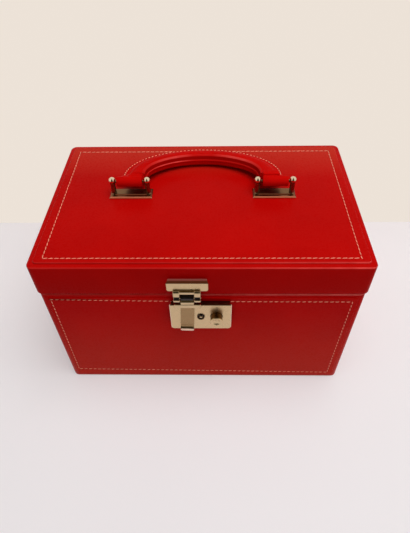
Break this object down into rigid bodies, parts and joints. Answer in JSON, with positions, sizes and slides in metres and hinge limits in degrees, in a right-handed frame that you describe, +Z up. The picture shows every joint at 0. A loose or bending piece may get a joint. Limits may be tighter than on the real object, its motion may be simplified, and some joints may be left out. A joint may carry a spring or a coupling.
{
  "type": "travel jewelry box",
  "caption": "Hard leather-covered travel jewelry box with a hinged lid, a folding arched handle, a hasp lock with a push button, and a lift-out tray.",
  "frame": {"origin": "centre of the underside of the base panel", "axes": "+X to the right as the lock is faced, +Y to the back, +Z up"},
  "size_m": [0.244, 0.1691, 0.1649],
  "materials": {
    "leather": "smooth red leather with a fine grain, pale thread stitching",
    "suede": "soft suede lining",
    "board": "bare light wood, covered on both sides",
    "gilt_metal": "polished pale gilt plating",
    "spring_steel": "plain steel",
    "mirror": "silvered glass"
  },
  "bodies": {
    "case": {"front_board": "board", "back_board": "board", "left_board": "board", "right_board": "board", "bottom_board": "board", "body_wrap": "leather", "base_panel": "leather", "front_panel": "leather", "back_panel": "leather", "left_panel": "leather", "right_panel": "leather", "liner_front": "suede", "liner_back": "suede", "liner_left": "suede", "liner_right": "suede", "floor_pad": "suede", "lower_divider": "suede", "tray_ledges": "suede", "lock_plate": "gilt_metal", "lock_case": "gilt_metal", "lock_screws": "gilt_metal", "bolt_spring": "spring_steel", "hinge_lower_leaves": "gilt_metal", "hinge_pins": "gilt_metal", "hinge_lower_screws": "gilt_metal"},
    "tray": {"tray_base": "suede", "tray_frame": "suede", "tray_dividers": "suede", "ring_rolls": "suede", "tray_pads": "suede", "tray_ribbons": "leather"},
    "lid": {"lid_front_board": "board", "lid_back_board": "board", "lid_left_board": "board", "lid_right_board": "board", "lid_top_board": "board", "lid_wrap": "leather", "lid_top_panel": "leather", "lid_lining": "suede", "mirror_frame": "leather", "mirror_glass": "mirror", "hinge_upper_leaves": "gilt_metal", "hinge_upper_screws": "gilt_metal", "hasp_bar": "gilt_metal", "hasp_bracket": "gilt_metal", "hasp_pin": "gilt_metal", "lid_screws": "gilt_metal", "left_handle_mount": "gilt_metal", "right_handle_mount": "gilt_metal", "handle_bars": "gilt_metal"},
    "handle": {"handle_grip": "leather", "handle_core": "spring_steel", "handle_loops": "leather"},
    "hasp": {"hasp_strap": "gilt_metal", "hasp_staple": "gilt_metal"},
    "button": {"push_button": "gilt_metal"},
    "bolt": {"latch_bolt": "gilt_metal"},
    "key": {"key_cam": "gilt_metal"}
  },
  "joints": [
    {"name": "lid_hinge", "type": "hinge", "parent": "case", "child": "lid", "pos_m": [0, 0.0797, 0.118], "axis": [-1, 0, 0], "range_deg": [0, 98]},
    {"name": "handle_pivot", "type": "hinge", "parent": "lid", "child": "handle", "pos_m": [0, 0.0032, 0.1606], "axis": [1, 0, 0], "range_deg": [0, 196.8]},
    {"name": "hasp_hinge", "type": "hinge", "parent": "lid", "child": "hasp", "pos_m": [-0.0102, -0.0811, 0.1202], "axis": [-1, 0, 0], "range_deg": [0, 110]},
    {"name": "button_press", "type": "slide", "parent": "case", "child": "button", "axis": [0, 1, 0], "range_m": [0, 0.002], "stiffness_N_per_m": 800, "springref_m": -0.0005},
    {"name": "bolt_slide", "type": "slide", "parent": "case", "child": "bolt", "axis": [1, 0, 0], "range_m": [0, 0.002], "deforming": ["bolt_spring"]},
    {"name": "key_turn", "type": "hinge", "parent": "case", "child": "key", "pos_m": [-0.0007, -0.079, 0.0978], "axis": [0, 1, 0], "range_deg": [-90, 0]},
    {"name": "tray_lift", "type": "slide", "parent": "case", "child": "tray", "axis": [0, 0, 1], "range_m": [0, 0.012]}
  ],
  "couplings": [
    {"joint": "bolt_slide", "follows": "button_press", "ratio": 1}
  ]
}
